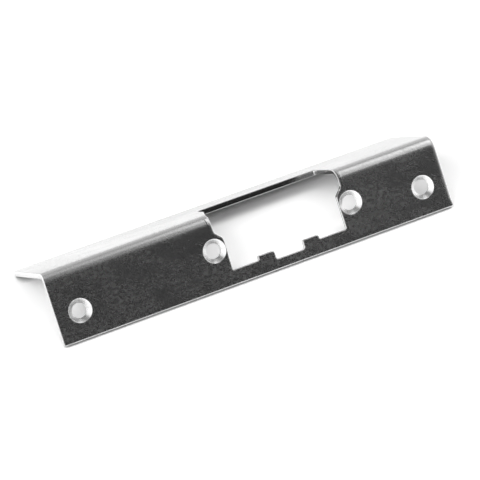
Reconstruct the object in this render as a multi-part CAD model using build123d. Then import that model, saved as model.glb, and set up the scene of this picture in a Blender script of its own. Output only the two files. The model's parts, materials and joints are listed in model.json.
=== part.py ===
from build123d import *
import math
import os

# Angled faceplate for an electric door strike: one folded sheet, millimetres.
# It is drawn square first: the front flange stands in the XZ plane with its
# outer face at Y 0, and the rear flange runs back from its top along +Y.
# The finished plate is then leaned over to rest on its two long free edges.

# Sheet and fold
plate_length = 142.0
front_width = 25.0          # front flange, measured over the bend
rear_width = 37.0           # rear flange, measured over the bend
sheet = 2.0
bend_inner_radius = 1.0
flange_corner_radius = 0.7
arris_radius = 0.45         # rolled-over edge round the outer face

# Latch opening in the front flange, heights taken from the lower edge
opening_offset = 11.65      # centre of the opening from the plate's middle
throat_width = 41.7         # lower, narrower part
mouth_width = 46.5          # upper part, carried on over the bend
lip_height = 5.0
step_start = 16.2
step_end = 18.6
step_radius = 1.6
opening_corner_radius = 0.4

# Two guide tabs on the lip, with a deeper stretch between them
tab_pitch = 16.3
tab_width = 5.9
tab_height = 1.5            # above the lip
tab_corner_radius = 0.6
relief_depth = 1.55         # below the lip, between the tabs
relief_corner_radius = 0.7

# Notch in the rear flange, depths taken from the front face
notch_depth = 21.0
notch_corner_radius = 0.8
ramp_inset = 2.8            # the notch's left side steps in by this
ramp_end = 13.5             # where it has stepped in
ramp_radius = 1.1

# Countersunk screw holes in the front flange
screw_diameter = 5.0
countersink_diameter = 8.0
countersink_angle = 90.0
outer_screw_inset = 8.5     # from each end of the plate
outer_screw_height = 9.5
inner_screw_pitch = 50.0    # centred on the latch opening
inner_screw_height = 12.9

cut_clearance = 1.0         # how far a cutter stands clear of the metal


def filleted_face(corners):
    """A face from (across, up, radius) corners, in the sketch plane."""
    points = [(across, up) for across, up, radius in corners]
    radii = [radius for across, up, radius in corners]
    return make_face(FilletPolyline(*points, radius=radii, close=True))


def folded_sheet():
    """The L section, extruded along the plate's length."""
    section = filleted_face([
        (0, 0, 0),
        (0, front_width, bend_inner_radius + sheet),
        (rear_width, front_width, 0),
        (rear_width, front_width - sheet, 0),
        (sheet, front_width - sheet, bend_inner_radius),
        (sheet, 0, 0),
    ])
    return extrude(Plane.YZ * section, amount=plate_length / 2, both=True)


def rounded_corners(plate):
    """Round the four free corners of the two flanges, seen square on."""
    front = plate.edges().filter_by(Axis.Y).group_by(Axis.Z)[0]
    rear = plate.edges().filter_by(Axis.Z).group_by(Axis.Y)[-1]
    return fillet(front + rear, flange_corner_radius)


def rolled_arris(plate):
    """Round the outer face's edge, all the way round both flanges."""
    outer_bend = plate.faces().filter_by(GeomType.CYLINDER).sort_by(SortBy.AREA)[-1]
    skins = [
        plate.faces().filter_by(Axis.Y).sort_by(Axis.Y)[0],
        plate.faces().filter_by(Axis.Z).sort_by(Axis.Z)[-1],
        outer_bend,
    ]
    edges = [edge for skin in skins for edge in skin.edges()]
    seams = [edge for edge in outer_bend.edges() if edge.geom_type == GeomType.LINE]
    rim = [
        edge for edge in edges
        if not any((edge.center() - seam.center()).length < sheet / 100 for seam in seams)
    ]
    return fillet(rim, min(arris_radius, flange_corner_radius * 0.8))


def latch_opening():
    """Cutter through the front flange: relief, tabs, throat, steps and mouth."""
    relief_half = (tab_pitch - tab_width) / 2
    tab_outer = relief_half + tab_width
    relief_height = lip_height - relief_depth
    tab_top = lip_height + tab_height
    half = [
        (relief_half, relief_height, relief_corner_radius),
        (relief_half, tab_top, tab_corner_radius),
        (tab_outer, tab_top, tab_corner_radius),
        (tab_outer, lip_height, opening_corner_radius),
        (throat_width / 2, lip_height, opening_corner_radius),
        (throat_width / 2, step_start, step_radius),
        (mouth_width / 2, step_end, step_radius),
        (mouth_width / 2, front_width + cut_clearance, 0),
    ]
    mirrored = [(-across, up, radius) for across, up, radius in reversed(half)]
    outline = Pos(opening_offset, 0) * filleted_face(half + mirrored)
    reach = sheet + bend_inner_radius
    front = Plane.XZ.offset(cut_clearance) * outline
    return extrude(front, amount=-(reach + cut_clearance))


def rear_notch():
    """Cutter down through the rear flange and the bend, its left side ramped in."""
    half = mouth_width / 2
    outline = filleted_face([
        (-half, -cut_clearance, 0),
        (half, -cut_clearance, 0),
        (half, notch_depth, notch_corner_radius),
        (-half + ramp_inset, notch_depth, notch_corner_radius),
        (-half + ramp_inset, ramp_end, ramp_radius),
        (-half, sheet + bend_inner_radius, ramp_radius),
    ])
    start = front_width - sheet - bend_inner_radius
    placed = Pos(opening_offset, 0, start) * outline
    return extrude(placed, amount=front_width + cut_clearance - start)


def screw_hole(along, height):
    """Countersunk clearance hole, entered from the front flange's outer face."""
    hole_radius = screw_diameter / 2
    head_radius = countersink_diameter / 2
    depth = (head_radius - hole_radius) / math.tan(math.radians(countersink_angle / 2))
    to_top = (Align.CENTER, Align.CENTER, Align.MAX)
    shank = Cylinder(hole_radius, sheet + cut_clearance, align=to_top)
    head = Cone(hole_radius, head_radius, depth, align=to_top)
    seat = Plane(origin=(along, 0, height), x_dir=(1, 0, 0), z_dir=(0, -1, 0))
    return seat * (shank + head)


def screw_holes():
    """The outer pair is centred on the plate, the inner pair on the opening."""
    holes = []
    for side in (-1, 1):
        outer = side * (plate_length / 2 - outer_screw_inset)
        inner = opening_offset + side * inner_screw_pitch / 2
        holes.append(screw_hole(outer, outer_screw_height))
        holes.append(screw_hole(inner, inner_screw_height))
    return holes


def at_rest(plate):
    """Lean the plate until both long free edges stand on Z 0, and centre it."""
    lean = math.degrees(math.atan2(front_width - sheet, rear_width - sheet))
    leaned = Rot(X=-lean) * plate
    box = leaned.bounding_box()
    return Pos(-box.center().X, -box.center().Y, -box.min.Z) * leaned


strike_plate = rolled_arris(rounded_corners(folded_sheet()))
strike_plate = strike_plate - latch_opening() - rear_notch()
for hole in screw_holes():
    strike_plate = strike_plate - hole
strike_plate = at_rest(strike_plate)

os.makedirs("parts", exist_ok=True)
export_step(strike_plate, "parts/strike_plate.step")
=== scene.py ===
import json
import math

import bpy
import numpy as np
from mathutils import Matrix, Vector
from mathutils.geometry import delaunay_2d_cdt


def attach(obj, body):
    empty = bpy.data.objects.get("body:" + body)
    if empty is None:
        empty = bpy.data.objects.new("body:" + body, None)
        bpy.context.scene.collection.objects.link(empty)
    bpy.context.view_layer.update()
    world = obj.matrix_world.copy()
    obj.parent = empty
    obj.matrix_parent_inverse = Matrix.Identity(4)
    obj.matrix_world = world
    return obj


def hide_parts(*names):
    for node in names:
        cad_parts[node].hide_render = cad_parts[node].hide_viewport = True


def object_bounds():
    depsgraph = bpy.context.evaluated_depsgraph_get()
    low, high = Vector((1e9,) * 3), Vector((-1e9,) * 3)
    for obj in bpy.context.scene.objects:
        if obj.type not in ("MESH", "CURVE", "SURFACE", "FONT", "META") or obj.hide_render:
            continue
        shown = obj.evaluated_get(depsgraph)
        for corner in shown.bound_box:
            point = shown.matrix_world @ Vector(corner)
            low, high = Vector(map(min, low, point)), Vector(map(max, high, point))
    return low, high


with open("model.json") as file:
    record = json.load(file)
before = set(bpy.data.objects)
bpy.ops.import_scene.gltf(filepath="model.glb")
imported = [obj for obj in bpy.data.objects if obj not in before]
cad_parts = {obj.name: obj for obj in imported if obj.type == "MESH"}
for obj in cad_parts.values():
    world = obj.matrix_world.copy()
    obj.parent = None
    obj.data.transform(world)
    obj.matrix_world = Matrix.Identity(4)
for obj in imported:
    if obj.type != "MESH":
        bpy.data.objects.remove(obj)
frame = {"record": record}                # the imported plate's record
cadLow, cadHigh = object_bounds()    # the CAD box, in metres
mm = 0.001                       # the sheet is drawn in millimetres and placed in metres
tiny = 1e-9                      # stands in for nought where something is divided by it
print("stage: frame loaded")


# camera

viewpoint = {
    "target": (-0.00314, -0.01292, 0.01078),   # the point in the middle of the picture, metres
    "distance": 1.06815,                       # metres
    "azimuth": 21.77,                          # degrees from +Y towards +X
    "elevation": 38.01,                        # degrees that the camera looks down
    "roll": -5.94,                             # the picture's own lean, degrees
    "lens": 243.8,                             # mm, on a sensor this wide
    "sensor": 36.0,
    "clip": (0.05, 20.0),                      # nearest and farthest that it sees, metres
}


def makeCamera(v):
    # forward = (sin a cos e, cos a cos e, -sin e); right and up are square to it, then turned by the roll
    a, e, r = (math.radians(v[k]) for k in ("azimuth", "elevation", "roll"))
    forward = Vector((math.sin(a) * math.cos(e), math.cos(a) * math.cos(e), -math.sin(e)))
    level = forward.cross(Vector((0, 0, 1))).normalized()
    upright = level.cross(forward)
    right = level * math.cos(r) + upright * math.sin(r)
    up = upright * math.cos(r) - level * math.sin(r)
    turn = Matrix((right, up, -forward)).transposed().to_4x4()
    data = bpy.data.cameras.new("camera")
    data.lens = v["lens"]
    data.sensor_width = v["sensor"]
    data.clip_start, data.clip_end = v["clip"]
    camera = bpy.data.objects.new("camera", data)
    camera.matrix_world = Matrix.Translation(Vector(v["target"]) - forward * v["distance"]) @ turn
    bpy.context.scene.collection.objects.link(camera)
    bpy.context.scene.camera = camera


makeCamera(viewpoint)
print("stage: camera set")


# the folded plate, as one flat pattern: across = along the plate, up = up the front flange,
# round the bend and on along the rear flange, depth = into the sheet from its outer face, all in mm

plate = {
    "front": 25.0,            # front flange, over the bend
    "rear": 37.0,             # rear flange, over the bend
    "sheet": 2.0,
    "bend": 3.0,              # outer radius of the bend
    "bendSoftness": (0.95, 2.5, 0.15),   # how far the bend fades into the flanges: near, far, share of far
    "bendPull": (0.35, 2.5),  # how far the bend draws the ends in, and over how far up and down
    "cornerRadius": 0.7,
    # how wide and how deep the outer face rolls over
    "rimRoll": (0.45, 0.45),      # along the two free edges
    "leftRoll": (0.15, 0.15),     # at the left end
    "rightRoll": (1.6, 0.27),     # at the right end
    "cutRoll": (0.5, 0.2),        # in the punched opening
    "bendCutRoll": (1.0, 0.45),   # and where the opening goes over the bend
    # how wide and how high the face swells beside that roll
    "rimSwell": (0.5, 0.004),
    "cutSwell": (0.9, 0.02),
    "backRoll": 0.4,          # the inner face's edge
    "footRoll": 0.1,          # and along the two edges that the plate stands on
    "endTurn": (0.7, 0.95),   # the rim turns into an end between these lengthwise shares of its normal
}

opening = {
    "centre": 11.65,          # from the plate's middle
    "throat": 41.7,           # its lower, narrower part
    "mouth": 46.5,            # its upper part, carried on over the bend
    "lip": 5.0,               # heights are taken from the lower edge
    "stepStart": 16.2,
    "stepEnd": 18.6,
    "stepRadius": 1.6,
    "cornerRadius": 0.4,
    "tabCentre": 11.45,       # the tabs and the relief sit a little to the left
    "tabPitch": 16.3,
    "tabWidth": 5.9,
    "tabHeight": 1.5,         # above the lip
    "tabRadius": (0.6, 1.0),  # left and right corners
    "relief": 1.55,           # below the lip, between the tabs
    "reliefRadius": 0.7,
    "notchDepth": 21.0,       # from the front face, along the rear flange
    "notchRadius": 0.8,
    "rampStart": 3.6,         # the notch's left side steps in from here
    "rampInset": 2.8,         # by this
    "rampEnd": 13.5,          # to here
    "rampRadius": 1.1,
}

screwHole = {
    "radius": 2.5,
    "sinkRadius": 4.0,
    "sinkAngle": 90.0,
    "rimRoll": 0.2,           # lead-in round the countersink
    "footRoll": 0.1,          # and where the hole comes out at the back
}

mesher = {
    "cornerSteps": 8,         # along every rounded corner
    "edgeSteps": 8,           # over a rolled edge
    "sinkSteps": 6,           # over a countersink's edge
    "holeSteps": 96,          # round a hole
    "spacing": 0.8,           # longest straight step along an outline
    "bendRows": (0.02, 0.98, 24),     # rows over the bend: first and last share of its turn, how many
    "fill": 2.0,              # spacing of the points inside the faces
    "clear": 2.0,             # how far those points stay off the outlines
    "slack": 0.2,             # less this much, so that the grid's own border stays
    "rowGaps": (0.3, 0.5),    # least gap from the bend's rows to the points below them and past them
    "batch": 500,             # points whose distances are worked out together
    "sameRow": 1e-5,          # a point this close to a row lies on it
    "sameSpot": 1e-7,         # and two points this close are one
}

beside = {
    # how the room beside an outline is found and what may take it
    "tries": (0.05, 1.25, 49),   # shares of the reach that are tried: first, last, how many
    "touch": 0.9998,          # under this share of the way back, another side is nearer
    "used": 0.8,              # share of the free way that is used
    "smoothings": 6,
    "sinkShare": 0.6,         # share of the gap to a countersink that is used
    "least": 0.03,
    "rollShare": 0.9,         # most of the room that the roll takes
    "swellShare": 0.01,       # least of its own size that the swell keeps
}


def unit(v):
    return v / np.linalg.norm(v, axis=-1, keepdims=True)


def roundedOutline(corners, steps):
    # every corner (across, up, radius) becomes an arc tangent to its two sides. n0 and n1 are the sides'
    # right-hand normals: centre = corner -+ radius (n0 + n1) / (1 + n0.n1), point = centre +- radius n
    c = np.array(corners, float)
    p, radius = c[:, None, :2], c[:, None, 2:]
    before = unit(p - np.roll(p, 1, 0))
    after = unit(np.roll(p, -1, 0) - p)
    n0 = np.stack([before[..., 1], -before[..., 0]], -1)
    n1 = np.stack([after[..., 1], -after[..., 0]], -1)
    sine = before[..., 0] * after[..., 1] - before[..., 1] * after[..., 0]
    turn = np.arctan2(sine, (before * after).sum(-1))
    side = np.sign(turn)[..., None]
    angle = turn * np.linspace(0, 1, steps + 1)[None, :]
    normals = np.stack([
        n0[..., 0] * np.cos(angle) - n0[..., 1] * np.sin(angle),
        n0[..., 0] * np.sin(angle) + n0[..., 1] * np.cos(angle),
    ], -1)
    centre = p - side * radius * (n0 + n1) / (1 + (n0 * n1).sum(-1, keepdims=True))
    points = centre + side * radius * normals
    return points.reshape(-1, 2), normals.reshape(-1, 2)


def divided(points, normals, rows, spacing):
    # cuts every side at the bend rows, fraction = (row - start) / (end - start), and into equal short
    # lengths. place = side + fraction, rounded so that equal places fall together
    atEnd, digits = 1e-6, 9
    following = np.roll(points, -1, 0)
    span = following - points
    rise = np.where(np.abs(span[:, 1:]) < tiny, tiny, span[:, 1:])
    fraction = (rows[None, :] - points[:, 1:]) / rise
    side = np.arange(len(points))
    crossed = (fraction > atEnd) & (fraction < 1 - atEnd)
    pieces = np.ceil(np.linalg.norm(span, axis=1) / spacing).astype(int)
    order = np.arange(pieces.sum()) - np.repeat(np.cumsum(pieces) - pieces, pieces)
    even = np.repeat(side, pieces) + order / np.repeat(pieces, pieces)
    place = np.unique(np.round(np.concatenate([even, (side[:, None] + fraction)[crossed]]), digits))
    at = place.astype(int)
    share = (place - at)[:, None]
    after = np.roll(normals, -1, 0)
    return points[at] + share * span[at], unit(normals[at] * (1 - share) + after[at] * share)


def pairs(first, second):
    return np.stack(np.broadcast_arrays(first, second), -1)


def edgeForm(sheet, steps):
    # rings from the face to the back. Every part holds (inset, depth) in units of its own size, and its
    # share of the normal as (outward, upward). The face swells by (1 - cos(2 pi t)) / 2, a quarter
    # ellipse rolls it over, and a quarter circle ends the wall at the back
    t = np.linspace(0, 1, steps, endpoint=False)
    a = np.linspace(0, math.pi / 2, steps + 1)
    b = np.linspace(0, math.pi / 2, steps // 2 + 1)
    onFace, onRoll, onBack = 0 * pairs(t, t), 0 * pairs(a, a), 0 * pairs(b, b)
    parts = {
        "roll": (onFace + (1, 0), pairs(1 - np.sin(a), 1 - np.cos(a)), onBack),
        "swell": (pairs(1 - t, (np.cos(2 * math.pi * t) - 1) / 2), onRoll, onBack),
        "back": (onFace, onRoll, pairs(1 - np.cos(b), np.sin(b) - 1)),
        "rest": (onFace, onRoll, onBack + (0, sheet)),
        "rollNormal": (onFace, pairs(np.sin(a), np.cos(a)), onBack),
        "swellNormal": (pairs(-math.pi * np.sin(2 * math.pi * t), 0), onRoll, onBack),
        "restNormal": (onFace + (0, 1), onRoll, pairs(np.cos(b), -np.sin(b))),
    }
    return {name: np.concatenate(rings)[:, None] for name, rings in parts.items()}


def sinkForm(hole, sheet, steps):
    # the same parts for a countersunk hole, insets taken from the bore: a small lead-in, the cone, the bore
    slope = math.radians(hole["sinkAngle"] / 2)
    reach = hole["sinkRadius"] - hole["radius"]
    depth = reach / math.tan(slope)
    lead = hole["rimRoll"]
    t = np.linspace(0, math.pi / 2 - slope, steps + 1)
    b = np.linspace(0, math.pi / 2, steps // 2 + 1)
    tangent = lead * math.tan((math.pi / 2 - slope) / 2)
    mouth = pairs(reach + tangent - lead * np.sin(t), lead * (1 - np.cos(t)))
    onMouth, onCone, onBack = 0 * pairs(t, t), np.zeros((2, 2)), 0 * pairs(b, b)
    none = (onMouth, onCone, onBack)
    parts = {
        "roll": none,
        "swell": none,
        "back": (onMouth, onCone, pairs(1 - np.cos(b), np.sin(b) - 1)),
        "rest": (mouth, onCone + (0, depth), onBack + (0, sheet)),
        "rollNormal": none,
        "swellNormal": none,
        "restNormal": (
            pairs(np.sin(t), np.cos(t)),
            [(math.cos(slope), math.sin(slope)), (1, 0)],
            pairs(np.cos(b), -np.sin(b)),
        ),
    }
    return {name: np.concatenate(rings)[:, None] for name, rings in parts.items()}


def softBend(p):
    # the outer skin seen from the end. Its curvature is a box of height 1 / radius and length radius pi / 2,
    # blurred so that the bend fades into the flanges. heading = running sum of the curvature, back = running
    # sum of sin(heading), height = running sum of cos(heading)
    start, end, blurReach, step = -40, 60, 12, 0.02
    up = np.arange(start, end, step)
    near, far, share = p["bendSoftness"]
    curve = (np.abs(up) < p["bend"] * math.pi / 4).astype(float)
    tail = np.arange(-blurReach, blurReach + step / 2, step)
    blur = sum(k * np.exp(-(tail / w) ** 2 / 2) / w for k, w in ((1 - share, near), (share, far)))
    heading = np.cumsum(np.convolve(curve, blur, "same"))
    heading *= math.pi / 2 / heading[-1]
    back = np.cumsum(np.sin(heading)) * step
    height = np.cumsum(np.cos(heading)) * step + up[0]
    # shifted so that the front flange keeps its width. The last value turns a place on the rear flange
    # into the pattern's up
    middle = p["front"] - height[-1]
    return up + middle, back, height + middle, heading, middle + up[-1] - back[-1]


lean = math.atan2(plate["front"] - plate["sheet"], plate["rear"] - plate["sheet"])
upward = np.array([0, math.sin(lean), math.cos(lean)])     # up the front flange
# the front flange's lower outer corner before its edge is rolled over, found from the box's front
rollBack = plate["rimRoll"][0] * (math.cos(lean) + math.sin(lean) - 1)
foot = np.array([0, cadLow.y / mm - rollBack, cadLow.z / mm + plate["sheet"] * math.sin(lean)])
skinUp, skinBack, skinHeight, skinHeading, toRear = softBend(plate)


def leaned(across, back, height):
    c, s = math.cos(lean), math.sin(lean)
    return np.stack([across, back * c + height * s, height * c - back * s], -1)


def placeSheet(across, up, depth):
    # point = skin point - depth x skin normal, leaned back, with its foot on the floor
    heading = np.interp(up, skinUp, skinHeading)
    back = np.interp(up, skinUp, skinBack) + depth * np.cos(heading)
    height = np.interp(up, skinUp, skinHeight) - depth * np.sin(heading)
    return foot + leaned(across, back, height)


def sheetAxes(up):
    # unit vectors along the pattern's up and out of the sheet, at each height
    heading = np.interp(up, skinUp, skinHeading)
    sine, cosine = np.sin(heading), np.cos(heading)
    return leaned(0 * up, sine, cosine), leaned(0 * up, -cosine, sine)


def insideLoop(points, loop):
    # even-odd rule: how many of the loop's sides a ray to the right crosses
    a, b = loop, np.roll(loop, -1, 0)
    x, y = points[:, 0, None], points[:, 1, None]
    straddles = (a[:, 1] > y) != (b[:, 1] > y)
    rise = np.where(b[:, 1] == a[:, 1], tiny, b[:, 1] - a[:, 1])
    crossing = a[:, 0] + (y - a[:, 1]) * (b[:, 0] - a[:, 0]) / rise
    return (straddles & (crossing > x)).sum(1) % 2 == 1


def insideMetal(points, loops):
    # inside the rim, the first loop, and outside the others
    inside = insideLoop(points, loops[0])
    for loop in loops[1:]:
        inside &= ~insideLoop(points, loop)
    return inside


def openingOutline():
    o = opening
    tabs, middle = o["tabCentre"], o["centre"]
    inner = (o["tabPitch"] - o["tabWidth"]) / 2
    outer = inner + o["tabWidth"]
    lip, top, bottom = o["lip"], o["lip"] + o["tabHeight"], o["lip"] - o["relief"]
    left, right = o["tabRadius"]
    narrow, wide = o["throat"] / 2, o["mouth"] / 2
    front = [
        (middle - wide, o["stepEnd"], o["stepRadius"]),
        (middle - narrow, o["stepStart"], o["stepRadius"]),
        (middle - narrow, lip, o["cornerRadius"]),
        (tabs - outer, lip, o["cornerRadius"]),
        (tabs - outer, top, left),
        (tabs - inner, top, right),
        (tabs - inner, bottom, o["reliefRadius"]),
        (tabs + inner, bottom, o["reliefRadius"]),
        (tabs + inner, top, left),
        (tabs + outer, top, right),
        (tabs + outer, lip, o["cornerRadius"]),
        (middle + narrow, lip, o["cornerRadius"]),
        (middle + narrow, o["stepStart"], o["stepRadius"]),
        (middle + wide, o["stepEnd"], o["stepRadius"]),
    ]
    notch = [
        (middle + wide, toRear + o["notchDepth"], o["notchRadius"]),
        (middle - wide + o["rampInset"], toRear + o["notchDepth"], o["notchRadius"]),
        (middle - wide + o["rampInset"], toRear + o["rampEnd"], o["rampRadius"]),
        (middle - wide, toRear + o["rampStart"], o["rampRadius"]),
    ]
    return (front + notch)[::-1]    # clockwise, so that the right-hand normal points out of the metal


def rimOutline(halfLength):
    top, r = toRear + plate["rear"], plate["cornerRadius"]
    return [(-halfLength, 0, r), (halfLength, 0, r), (halfLength, top, r), (-halfLength, top, r)]


def screwCentres():
    # a screw mount's place read back into the pattern: up = its distance from the front flange's foot
    spots = np.array([m["pos_m"] for m in frame["record"]["mounts"] if m["kind"] == "bore"]) / mm
    return np.stack([spots[:, 0], (spots - foot) @ upward], -1)


def roomBeside(points, normals, reach):
    # how far a point may go into the metal, up to the reach: a share of the way to where it comes nearer
    # to another side, smoothed along the outline but never raised
    tries = reach[:, None] * np.linspace(*beside["tries"])
    inset = points[:, None] - tries[..., None] * normals[:, None]
    away = np.linalg.norm(inset[:, :, None] - points[None, None], axis=-1).min(-1)
    free = np.cumprod(away > beside["touch"] * tries, axis=1).sum(1)
    room = beside["used"] * np.take_along_axis(tries, np.clip(free - 1, 0, None)[:, None], 1)[:, 0]
    for k in range(beside["smoothings"]):
        room = np.minimum(room, (np.roll(room, 1) + np.roll(room, -1) + room) / 3)
    return room


def mixedSize(size, other, share):
    # a size for every outline point, on its way from one to the other
    return np.array(size) + (np.array(other) - size) * share[:, None]


def ringPoints(points, normals, form, roll, swell, back, room):
    # every outline point carries the whole form, its roll and swell narrowed where there is less room beside
    # it: (rings, outline, 3) of across, up, depth and (rings, outline, 2) of the normal's two shares
    roll = roll * np.minimum(1, beside["rollShare"] * room / roll[:, 0])[:, None]
    swell = swell * np.clip((room - roll[:, 0]) / swell[:, 0], beside["swellShare"], 1)[:, None]
    move = form["roll"] * roll + form["swell"] * swell + form["back"] * back[:, None] + form["rest"]
    swellSlope = swell[:, 1:] / swell[:, :1]
    shares = form["rollNormal"] / roll + form["swellNormal"] * swellSlope + form["restNormal"]
    flat = points - move[..., :1] * normals
    return np.concatenate([flat, move[..., 1:]], -1), unit(shares)


def rolledEdges(halfLength, rows, centres):
    # the rim and the opening with their rolled edges: (rings, normal shares, outline, its normals, slot)
    p, m = plate, mesher
    rim = divided(*roundedOutline(rimOutline(halfLength), m["cornerSteps"]), rows, m["spacing"])
    cut = divided(*roundedOutline(openingOutline(), m["cornerSteps"]), rows, m["spacing"])
    leftward, rightward = (np.interp(side * rim[1][:, 0], p["endTurn"], (0, 1)) for side in (-1, 1))
    rimRoll = mixedSize(mixedSize(p["rimRoll"], p["leftRoll"], leftward), p["rightRoll"], rightward)
    overBend = np.exp(-((cut[0][:, 1] - p["front"]) / p["bend"]) ** 2)
    cutRoll = mixedSize(p["cutRoll"], p["bendCutRoll"], overBend)
    # the long free edges stand on the floor, so the back's corner is sharper there
    rimBack = np.interp(leftward + rightward, (0, 1), (p["footRoll"], p["backRoll"]))
    cutBack = np.full(len(cut[0]), p["backRoll"])
    form = edgeForm(p["sheet"], m["edgeSteps"])
    edges = []
    for slot, (points, normals), roll, swell, back in (
        (1, rim, rimRoll, p["rimSwell"], rimBack),
        (2, cut, cutRoll, p["cutSwell"], cutBack),
    ):
        # where a countersink comes close, the edge's form keeps to a share of the gap
        gap = np.linalg.norm(points[:, None] - centres[None], axis=-1).min(1) - screwHole["sinkRadius"]
        room = roomBeside(points, normals, roll[:, 0] + swell[0])
        room = np.minimum(beside["sinkShare"] * (gap - screwHole["rimRoll"]), room)
        room = np.maximum(room, beside["least"])
        swell = np.tile(swell, (len(points), 1))
        rings, shares = ringPoints(points, normals, form, roll, swell, back, room)
        edges.append((rings, shares, points, normals, slot))
    return edges


def sinkEdges(centres):
    # the same for the countersunk holes, each with the countersink's circle as its outline
    angle = -np.linspace(0, 2 * math.pi, mesher["holeSteps"], endpoint=False)
    circle = np.stack([np.cos(angle), np.sin(angle)], -1)
    form = sinkForm(screwHole, plate["sheet"], mesher["sinkSteps"])
    ones = np.ones(circle.shape)
    back = screwHole["footRoll"] * ones[:, 0]
    edges = []
    for centre in centres:
        points = centre + circle * screwHole["radius"]
        rings, shares = ringPoints(points, -circle, form, ones, ones, back, ones[:, 0])
        edges.append((rings, shares, centre + circle * screwHole["sinkRadius"], -circle, 3))
    return edges


def stripFaces(rings, count, first):
    # quads between neighbouring rings and points, wound so that they face out of the metal
    i, j = np.meshgrid(np.arange(rings - 1), np.arange(count), indexing="ij")
    k = (j + 1) % count
    quad = np.stack([i * count + j, (i + 1) * count + j, (i + 1) * count + k, i * count + k], -1)
    return quad.reshape(-1, 4) + first


def skinFaces(loops, fill, rows):
    # triangles between the outlines and the fill points, none of them reaching across a bend row
    shapes = [shape for shape, ids in loops]
    points = np.concatenate(shapes + [fill[0]])
    ids = np.concatenate([ids for shape, ids in loops] + [fill[1]])
    edges, first = [], 0
    for shape in shapes:
        n = np.arange(len(shape))
        edges.append(np.stack([n, np.roll(n, -1)], -1) + first)
        first += len(shape)
    for row in rows:
        onRow = np.flatnonzero(np.abs(points[:, 1] - row) < mesher["sameRow"])
        onRow = onRow[np.argsort(points[onRow, 0])]
        stretches = np.stack([onRow[:-1], onRow[1:]], -1)
        edges.append(stretches[insideMetal(points[stretches].mean(1), shapes)])
    flat = [Vector(p) for p in points]
    made = delaunay_2d_cdt(flat, np.concatenate(edges).tolist(), [], 0, mesher["sameSpot"])
    spots, faces, origin = made[0], np.array(made[2]), made[3]
    back = np.array([o[0] if o else -1 for o in origin])
    middle = np.array([tuple(p) for p in spots])[faces].mean(1)
    faces = back[faces[insideMetal(middle, shapes)]]
    print("   skin:", len(faces), "triangles,", int((back < 0).sum()), "points that the outlines lack")
    corner = points[faces]
    a, b = corner[:, 1] - corner[:, 0], corner[:, 2] - corner[:, 0]
    flipped = a[:, 0] * b[:, 1] - a[:, 1] * b[:, 0] < 0
    faces[flipped] = faces[flipped][:, ::-1]
    return ids[faces]


def fillGrid(halfLength, rows, outlines):
    # a grid over the pattern, on the bend's rows where it meets them and twice as close below them, kept
    # clear of every outline
    step, clear, (gapBelow, gapPast) = mesher["fill"], mesher["clear"], mesher["rowGaps"]
    top = toRear + plate["rear"]
    across = np.arange(-halfLength + clear, halfLength - clear, step)
    below = np.arange(clear, rows[0] - gapBelow, step / 2)
    past = np.arange(rows[-1] + gapPast, top - clear, step)
    up = np.concatenate([below, rows, past])
    grid = np.stack(np.meshgrid(across, up, indexing="ij"), -1).reshape(-1, 2)
    edge = np.concatenate(outlines)
    batches = np.array_split(grid, len(grid) // mesher["batch"] + 1)
    near = np.concatenate([np.linalg.norm(part[:, None] - edge, axis=-1).min(1) for part in batches])
    return grid[insideMetal(grid, outlines) & (near > clear - mesher["slack"])]


def joinPattern(edges, fill, rows):
    # every edge's rings with strips between them, and the outer and the inner skin that close them: points
    # in the pattern, their normals' two shares, the outline's normals, the faces and their material slots
    points, shares, outward, faces, slots = [], [], [], [], []
    outerLoops, innerLoops, first = [], [], 0
    for rings, ringShares, outline, normals, slot in edges:
        layers, count = rings.shape[:2]
        ids = first + np.arange(layers * count).reshape(layers, count)
        points.append(rings.reshape(-1, 3))
        shares.append(ringShares.reshape(-1, 2))
        outward.append(np.tile(normals, (layers, 1)))
        strip = stripFaces(layers, count, first)
        faces += strip.tolist()
        slots += [slot] * len(strip)
        outerLoops.append((rings[0, :, :2], ids[0]))
        innerLoops.append((rings[-1, :, :2], ids[-1]))
        first += layers * count
    for side, depth, loops in ((1, 0, outerLoops), (-1, plate["sheet"], innerLoops)):
        count = len(fill)
        ids = first + np.arange(count)
        first += count
        points.append(np.concatenate([fill, np.full((count, 1), depth)], 1))
        shares.append(np.tile([0.0, side], (count, 1)))
        outward.append(np.tile([1.0, 0], (count, 1)))
        skinned = skinFaces(loops, (fill, ids), rows)[:, ::side]
        faces += skinned.tolist()
        slots += [0] * len(skinned)
    return np.concatenate(points), np.concatenate(shares), np.concatenate(outward), faces, slots


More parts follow.
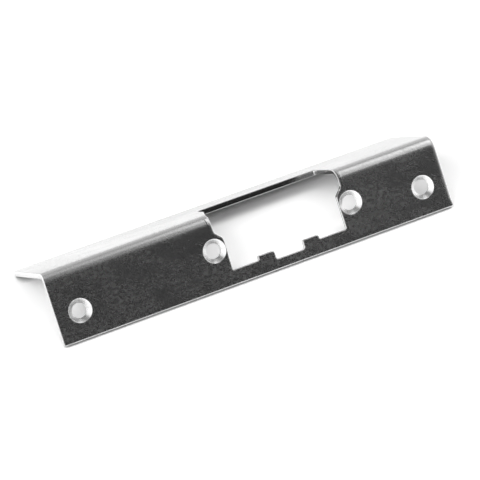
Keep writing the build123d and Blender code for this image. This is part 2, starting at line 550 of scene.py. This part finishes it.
def makePlate():
    p = plate
    halfLength = (cadHigh.x - cadLow.x) / 2 / mm
    turn = np.linspace(*mesher["bendRows"]) * math.pi / 2
    # where the bend's rows lie in the pattern, to a thousandth of a millimetre
    rows = np.round(np.interp(turn, skinHeading, skinUp), 3)
    centres = screwCentres()
    edges = rolledEdges(halfLength, rows, centres) + sinkEdges(centres)
    fill = fillGrid(halfLength, rows, [outline for rings, shares, outline, normals, slot in edges])
    pattern, shares, outward, faces, slots = joinPattern(edges, fill, rows)
    across, up, depth = pattern.T
    # the bend draws the ends in by pull exp(-(distance up / reach)^2), less and less towards the inner face
    pull, reach = p["bendPull"]
    drawn = pull * np.exp(-((up - p["front"]) / reach) ** 2) * (1 - depth / p["sheet"])
    place = placeSheet(across * (1 - drawn / halfLength), up, depth)
    # normal = outward share x (the outline's normal, laid on the sheet) + upward share x the sheet's own
    rise, out = sheetAxes(up)
    sideways = outward[:, :1] * np.array([[1.0, 0, 0]]) + outward[:, 1:] * rise
    normals = unit(shares[:, :1] * sideways + shares[:, 1:] * out)
    mesh = bpy.data.meshes.new("foldedPlate")
    mesh.from_pydata((place * mm).tolist(), [], faces)
    mesh.polygons.foreach_set("material_index", np.array(slots, np.int32))
    mesh.polygons.foreach_set("use_smooth", np.ones(len(faces), bool))
    # the materials read the place on the flat sheet and the depth into it
    uv = mesh.uv_layers.new(name="pattern")
    loopVertex = np.zeros(len(mesh.loops), np.int32)
    mesh.loops.foreach_get("vertex_index", loopVertex)
    uv.data.foreach_set("uv", (pattern[loopVertex, :2] * mm).astype(np.float32).ravel())
    sheetDepth = mesh.attributes.new("sheetDepth", "FLOAT", "POINT")
    sheetDepth.data.foreach_set("value", depth.astype(np.float32))
    mesh.update()
    mesh.normals_split_custom_set_from_vertices(normals.tolist())
    piece = bpy.data.objects.new("foldedPlate", mesh)
    bpy.context.scene.collection.objects.link(piece)
    print("stage: plate made,", len(place), "points,", len(faces), "faces")
    return piece


foldedPlate = makePlate()
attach(foldedPlate, "root")
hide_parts("strike_plate")


# node helpers

def addNode(tree, kind, sockets, **settings):
    # a new node with its settings; a socket is linked where the value is another node's output
    node = tree.nodes.new("ShaderNode" + kind)
    for name, value in settings.items():
        setattr(node, name, value)
    for name, value in sockets.items():
        if isinstance(value, bpy.types.NodeSocket):
            tree.links.new(value, node.inputs[name])
        else:
            node.inputs[name].default_value = value
    return node


def placeGroup(tree, group, sockets):
    return addNode(tree, "Group", sockets, node_tree=group).outputs


def calculate(tree, operation, a, b):
    return addNode(tree, "Math", {0: a, 1: b}, operation=operation).outputs["Value"]


def calculateVector(tree, operation, a, b):
    return addNode(tree, "VectorMath", {0: a, 1: b}, operation=operation).outputs["Vector"]


def fade(tree, value, start, end, low=0.0, high=1.0):
    # smooth step of the value from start to end, spread over low to high
    sockets = {"Value": value, "From Min": start, "From Max": end, "To Min": low, "To Max": high}
    return addNode(tree, "MapRange", sockets, interpolation_type="SMOOTHSTEP").outputs["Result"]


def blend(tree, factor, a, b):
    return addNode(tree, "Mix", {"Factor": factor, "A": a, "B": b}, data_type="FLOAT").outputs["Result"]


def weightedSum(tree, *terms):
    # sum of value x weight
    total = None
    for value, weight in terms:
        part = calculate(tree, "MULTIPLY", value, weight)
        total = part if total is None else calculate(tree, "ADD", total, part)
    return total


def noiseAt(tree, vector, detail):
    return addNode(tree, "TexNoise", {"Vector": vector, "Scale": 1.0, "Detail": detail}).outputs["Fac"]


def makeGroup(name, inputs, outputs):
    # an empty node group with named sockets: its tree, what comes in and the node that takes what goes out
    tree = bpy.data.node_groups.new(name, "ShaderNodeTree")
    for socket, kind in inputs:
        tree.interface.new_socket(name=socket, in_out="INPUT", socket_type="NodeSocket" + kind)
    for socket in outputs:
        tree.interface.new_socket(name=socket, in_out="OUTPUT", socket_type="NodeSocketFloat")
    return tree, tree.nodes.new("NodeGroupInput").outputs, tree.nodes.new("NodeGroupOutput")


# steel

grains = {
    # name: (length, width, degrees off the plate's length, noise where it starts and is full, slice), in mm
    "speck": (1.35, 0.92, 24, 0.32, 0.76, 3.1),
    "cluster": (14.0, 8.0, 30, 0.28, 0.62, 7.7),
    "cloud": (55.0, 26.0, 10, 0.3, 0.7, 12.3),
    "rolling": (60.0, 1.3, 0, 0.35, 0.7, 21.9),
    "scratch": (8.0, 0.3, 38, 0.6, 0.72, 28.4),
}

grainDetail = 2.0             # octaves of its noise

skin = {
    "colour": 0.63,
    "roughness": 0.223,
    "speckHaze": 0.085,       # roughness added by each grain
    "cloudHaze": 0.02,
    "rollingHaze": 0.02,
    "scratchHaze": 0.035,
    "speckDepth": 0.004,      # mm
    "rollingDepth": 0.001,
    "shade": 0.08,            # share by which the specks and the rolling lines each darken the steel
    "cloudShade": 0.07,
}

wall = {
    "sheared": (0.8, 0.7),    # brightness of the burnished band and of the torn one, round the plate
    "punchedShaded": (0.78, 0.42),  # and in the opening, its torn band painted darker as painted shade for the dark that those walls face
    "start": (0.12, 0.3),     # the rolled face gives way to the cut wall between these depths, mm
    "burnished": (0.5, 0.75),   # and the burnished band to the torn one between these
    "wander": 0.25,           # how far the torn band's edge wanders, mm
    "burnishedRoughness": 0.08,
    "tornRoughness": 0.16,
    "tornDepth": 0.01,        # mm
    "drag": (0.25, 0.25, 0, 0.35, 0.7, 41.2),   # the tool's drag marks, a grain straight down the wall
}

sink = {
    # brighter than steel is: partly bare turned metal, partly a painted reflection of light that bounces
    # round inside the countersink
    "colour": 0.92,
    "roughness": 0.22,
    "ringPitch": 0.16,        # mm of depth between the cutter's rings
    "ringDetail": 1.0,        # octaves of their noise
    "ring": (0.35, 0.65),     # noise where a ring starts and is full
    "ringHaze": 0.08,         # roughness added by a ring
    "ringDepth": 0.002,       # mm
    "shade": 0.06,
}


def makeGrainGroup():
    # noise stretched along a turned direction: vector = turned place / (length, width), its third part picks
    # the slice; mask = smooth step of the noise from low to high
    floats = [(name, "Float") for name in ("Length", "Width", "Angle", "Low", "High", "Slice")]
    tree, given, out = makeGroup("stretchedGrain", [("Place", "Vector")] + floats, ["Mask"])
    sockets = {"Vector": given["Place"], "Angle": given["Angle"]}
    turned = addNode(tree, "VectorRotate", sockets, rotation_type="Z_AXIS").outputs["Vector"]
    size = addNode(tree, "CombineXYZ", {"X": given["Length"], "Y": given["Width"], "Z": 1.0}).outputs[0]
    away = addNode(tree, "CombineXYZ", {"Z": given["Slice"]}).outputs[0]
    moved = calculateVector(tree, "ADD", calculateVector(tree, "DIVIDE", turned, size), away)
    mask = fade(tree, noiseAt(tree, moved, grainDetail), given["Low"], given["High"])
    tree.links.new(mask, out.inputs["Mask"])
    return tree


def grainMask(tree, group, place, values):
    length, width, angle, low, high, part = values
    return placeGroup(tree, group, {
        "Place": place, "Length": length, "Width": width, "Angle": math.radians(angle),
        "Low": low, "High": high, "Slice": part,
    })["Mask"]


def makeSkinGroup(grainGroup):
    # the rolled face: specks of haze in clusters, broad clouds, lines along the plate and a few scratches
    amounts = [(name, "Float") for name in ("Roughness", "Colour")]
    outputs = ["Roughness", "Colour", "Height"]
    tree, given, out = makeGroup("rolledSkin", [("Place", "Vector")] + amounts, outputs)
    mask = {name: grainMask(tree, grainGroup, given["Place"], values) for name, values in grains.items()}
    specks = calculate(tree, "MULTIPLY", mask["speck"], mask["cluster"])
    haze = weightedSum(
        tree, (specks, skin["speckHaze"]), (mask["cloud"], skin["cloudHaze"]),
        (mask["rolling"], skin["rollingHaze"]), (mask["scratch"], skin["scratchHaze"]),
    )
    shade = weightedSum(
        tree, (mask["rolling"], skin["shade"]), (specks, skin["shade"]), (mask["cloud"], skin["cloudShade"]),
    )
    height = weightedSum(tree, (specks, -skin["speckDepth"]), (mask["rolling"], skin["rollingDepth"]))
    colour = calculate(tree, "MULTIPLY", given["Colour"], calculate(tree, "SUBTRACT", 1.0, shade))
    tree.links.new(calculate(tree, "ADD", haze, given["Roughness"]), out.inputs["Roughness"])
    tree.links.new(colour, out.inputs["Colour"])
    tree.links.new(height, out.inputs["Height"])
    return tree


def startSteel(name):
    # the plate's next material, a bare metal
    material = bpy.data.materials.new(name)
    material.use_nodes = True
    foldedPlate.data.materials.append(material)
    tree = material.node_tree
    shader = tree.nodes["Principled BSDF"]
    shader.inputs["Metallic"].default_value = 1
    return tree, shader


def patternPlace(tree):
    # the place on the flat sheet, in mm
    flat = addNode(tree, "UVMap", {}, uv_map="pattern").outputs["UV"]
    return addNode(tree, "VectorMath", {0: flat, "Scale": 1 / mm}, operation="SCALE").outputs["Vector"]


def patternDepth(tree):
    # the depth into the sheet, in mm
    return addNode(tree, "Attribute", {}, attribute_name="sheetDepth").outputs["Fac"]


def placeSkin(tree, skinGroup, place):
    sockets = {"Place": place, "Roughness": skin["roughness"], "Colour": skin["colour"]}
    return placeGroup(tree, skinGroup, sockets)


def finishSteel(tree, shader, colour, roughness, height):
    bump = addNode(tree, "Bump", {"Height": height, "Distance": mm, "Strength": 1.0})
    tree.links.new(colour, shader.inputs["Base Color"])
    tree.links.new(roughness, shader.inputs["Roughness"])
    tree.links.new(bump.outputs["Normal"], shader.inputs["Normal"])


def makeRolledSteel(skinGroup):
    tree, shader = startSteel("rolledSteel")
    face = placeSkin(tree, skinGroup, patternPlace(tree))
    finishSteel(tree, shader, face["Colour"], face["Roughness"], face["Height"])


def makeCutEdge(kind, skinGroup, grainGroup):
    # down the wall: the rolled face, a burnished band, then a torn one whose edge wanders
    tree, shader = startSteel(kind + "Edge")
    place, depth = patternPlace(tree), patternDepth(tree)
    face = placeSkin(tree, skinGroup, place)
    drag = grainMask(tree, grainGroup, place, wall["drag"])
    onWall = fade(tree, depth, *wall["start"])
    wandering = calculate(tree, "SUBTRACT", depth, calculate(tree, "MULTIPLY", drag, wall["wander"]))
    torn = fade(tree, wandering, *wall["burnished"])
    # in the opening the torn band's darker colour is painted shade
    colour = blend(tree, torn, *wall[kind])
    roughness = blend(tree, torn, wall["burnishedRoughness"], wall["tornRoughness"])
    height = calculate(tree, "MULTIPLY", calculate(tree, "MULTIPLY", torn, drag), wall["tornDepth"])
    finishSteel(
        tree, shader, blend(tree, onWall, face["Colour"], colour),
        blend(tree, onWall, face["Roughness"], roughness), blend(tree, onWall, face["Height"], height),
    )


def makeTurnedSink():
    # rings at equal depths, as the cutter leaves them: noise of the depth alone
    tree, shader = startSteel("turnedSink")
    turns = calculate(tree, "DIVIDE", patternDepth(tree), sink["ringPitch"])
    noise = noiseAt(tree, addNode(tree, "CombineXYZ", {"X": turns}).outputs[0], sink["ringDetail"])
    ring = fade(tree, noise, *sink["ring"])
    roughness = calculate(tree, "ADD", calculate(tree, "MULTIPLY", ring, sink["ringHaze"]), sink["roughness"])
    shade = calculate(tree, "SUBTRACT", 1.0, calculate(tree, "MULTIPLY", ring, sink["shade"]))
    # the sink's bright colour carries a painted reflection
    colour = calculate(tree, "MULTIPLY", shade, sink["colour"])
    finishSteel(tree, shader, colour, roughness, calculate(tree, "MULTIPLY", ring, sink["ringDepth"]))


grainGroup = makeGrainGroup()
skinGroup = makeSkinGroup(grainGroup)
makeRolledSteel(skinGroup)
for kind in ("sheared", "punchedShaded"):
    makeCutEdge(kind, skinGroup, grainGroup)
makeTurnedSink()
print("stage: materials set")


# floor

paper = {
    "size": 6.0,              # metres, as the reaches are
    "height": cadLow.z,       # where the plate stands
    "colour": 0.9,            # for the light that it scatters on
    "level": 1.0,             # its colour as the camera and the metal see it
    "glow": 0.2,              # and how much painted glow it shows them, a glow that lights nothing
    "glowReach": 0.014,       # the painted glow fades where the plate stands this close over the paper, a painted shade under it
    "contactReach": 0.0035,   # and the level darkens where it stands this close, a painted contact shadow
    "contactShadow": (0.1, 0.85, 0.35),   # openness where the painted contact shadow is darkest and where it ends, the darkest level
    "samples": 8,             # for each openness
    "roughness": 0.9,
}


def makeFloor(v):
    half = v["size"] / 2
    corners = np.array([(-half, -half), (half, -half), (half, half), (-half, half)])
    points = np.concatenate([corners, np.full((4, 1), v["height"])], 1)
    mesh = bpy.data.meshes.new("floor")
    mesh.from_pydata(points.tolist(), [], [(0, 1, 2, 3)])
    floor = bpy.data.objects.new("floor", mesh)
    bpy.context.scene.collection.objects.link(floor)
    material = bpy.data.materials.new("paperSweep")
    material.use_nodes = True
    tree = material.node_tree
    shader = tree.nodes["Principled BSDF"]
    path = addNode(tree, "LightPath", {}).outputs
    seen = calculate(tree, "MAXIMUM", path["Is Camera Ray"], path["Is Glossy Ray"])
    # painted light for the camera and the metal: a glow that fades into painted shade under the plate, and a
    # painted contact shadow where the two all but touch
    clear, parted = (
        addNode(tree, "AmbientOcclusion", {"Distance": reach}, samples=v["samples"]).outputs["AO"]
        for reach in (v["glowReach"], v["contactReach"])
    )
    level = fade(tree, parted, *v["contactShadow"], v["level"])
    tree.links.new(blend(tree, seen, v["colour"], level), shader.inputs["Base Color"])
    tree.links.new(calculate(tree, "MULTIPLY", seen, clear), shader.inputs["Emission Color"])
    shader.inputs["Emission Strength"].default_value = v["glow"]
    shader.inputs["Roughness"].default_value = v["roughness"]
    shader.inputs["Specular IOR Level"].default_value = 0
    mesh.materials.append(material)


makeFloor(paper)
print("stage: floor laid")


# room and lamps

room = {
    # what the metal reflects, by the direction's height: (z, level)
    "walls": ((0.0, 0.98), (0.22, 0.92), (0.53, 0.8), (0.77, 0.58), (0.88, 0.5), (1.0, 0.42)),
    # light added on the left and on the right: from x, to x, level, from z, to z
    "glows": ((-0.2, -0.7, 0.5, 0.05, 0.3), (0.5, 0.85, 0.5, -0.1, 0.1)),
    # patches of another level: centre, degrees outside and inside, level
    "patches": (
        ((0.04, -0.70, 0.71), 36, 8, 0.1),
        ((-0.25, 0.36, 0.9), 22, 5, 0.25),
        ((-0.03, -0.43, 0.9), 30, 14, 0.05),
        ((0.5, 0.0, 0.87), 18, 6, 0.85),
        ((0.22, -0.94, 0.259), 40, 17, 0.03),
    ),
    "scattered": 0.0,         # level as surfaces that scatter light see it: the lamps alone light those
    "shown": 1.0,             # level as the camera sees it
}

softboxes = {
    # name: (place and size in metres, degrees turned about X and Y, watts, seen in the metal)
    "topKey": ((-0.3, -1.0, 2.2), (2.4, 0.7), (24, -7), 34, False),
    "leftKey": ((-1.9, -0.5, 1.25), (2.0, 2.4), (10, -56), 50, False),
    "rightKey": ((1.9, -0.5, 1.25), (2.0, 2.4), (10, 56), 3, False),
    "rightFill": ((0.9, -0.3, 0.93), (1.2, 1.5), (-14, 30), 3.3, False),
    "rightBox": ((0.57, -0.3, 1.12), (0.4, 1.5), (-14, 30), 1.9, True),
}


def makeWorld(v):
    # level = walls(z) + glow on the left and right, then blended to each patch's level round its centre
    world = bpy.data.worlds.new("studio")
    bpy.context.scene.world = world
    world.use_nodes = True
    tree = world.node_tree
    direction = addNode(tree, "TexCoord", {}).outputs["Generated"]
    split = addNode(tree, "SeparateXYZ", {"Vector": direction})
    x, z = split.outputs["X"], split.outputs["Z"]
    ramp = addNode(tree, "ValToRGB", {"Fac": z})
    stops = ramp.color_ramp.elements
    stops.remove(stops[-1])
    for k, (height, grey) in enumerate(v["walls"]):
        stop = stops.new(height) if k else stops[0]
        stop.position = height
        stop.color = (grey, grey, grey, 1)
    level = ramp.outputs["Color"]
    for start, end, amount, low, high in v["glows"]:
        glow = calculate(tree, "MULTIPLY", fade(tree, x, start, end, 0, amount), fade(tree, z, low, high))
        level = calculate(tree, "ADD", level, glow)
    for centre, outer, inner, patchLevel in v["patches"]:
        sockets = {0: direction, 1: Vector(centre).normalized()}
        cosine = addNode(tree, "VectorMath", sockets, operation="DOT_PRODUCT").outputs["Value"]
        cap = fade(tree, cosine, math.cos(math.radians(outer)), math.cos(math.radians(inner)))
        level = blend(tree, cap, level, patchLevel)
    path = addNode(tree, "LightPath", {}).outputs
    level = blend(tree, path["Is Diffuse Ray"], level, v["scattered"])
    level = blend(tree, path["Is Camera Ray"], level, v["shown"])
    tree.links.new(level, tree.nodes["Background"].inputs["Strength"])
    tree.nodes["Background"].inputs["Color"].default_value = (1, 1, 1, 1)


def makeSoftbox(name, place, size, turn, power, seen):
    data = bpy.data.lights.new(name, "AREA")
    data.shape = "RECTANGLE"
    data.size, data.size_y = size
    data.energy = power
    lamp = bpy.data.objects.new(name, data)
    lamp.location = place
    lamp.rotation_euler = [math.radians(a) for a in (*turn, 0)]
    lamp.visible_glossy = seen
    bpy.context.scene.collection.objects.link(lamp)


makeWorld(room)
for name, values in softboxes.items():
    makeSoftbox(name, *values)
bpy.context.scene.view_settings.view_transform = "Standard"
print("stage: studio set")
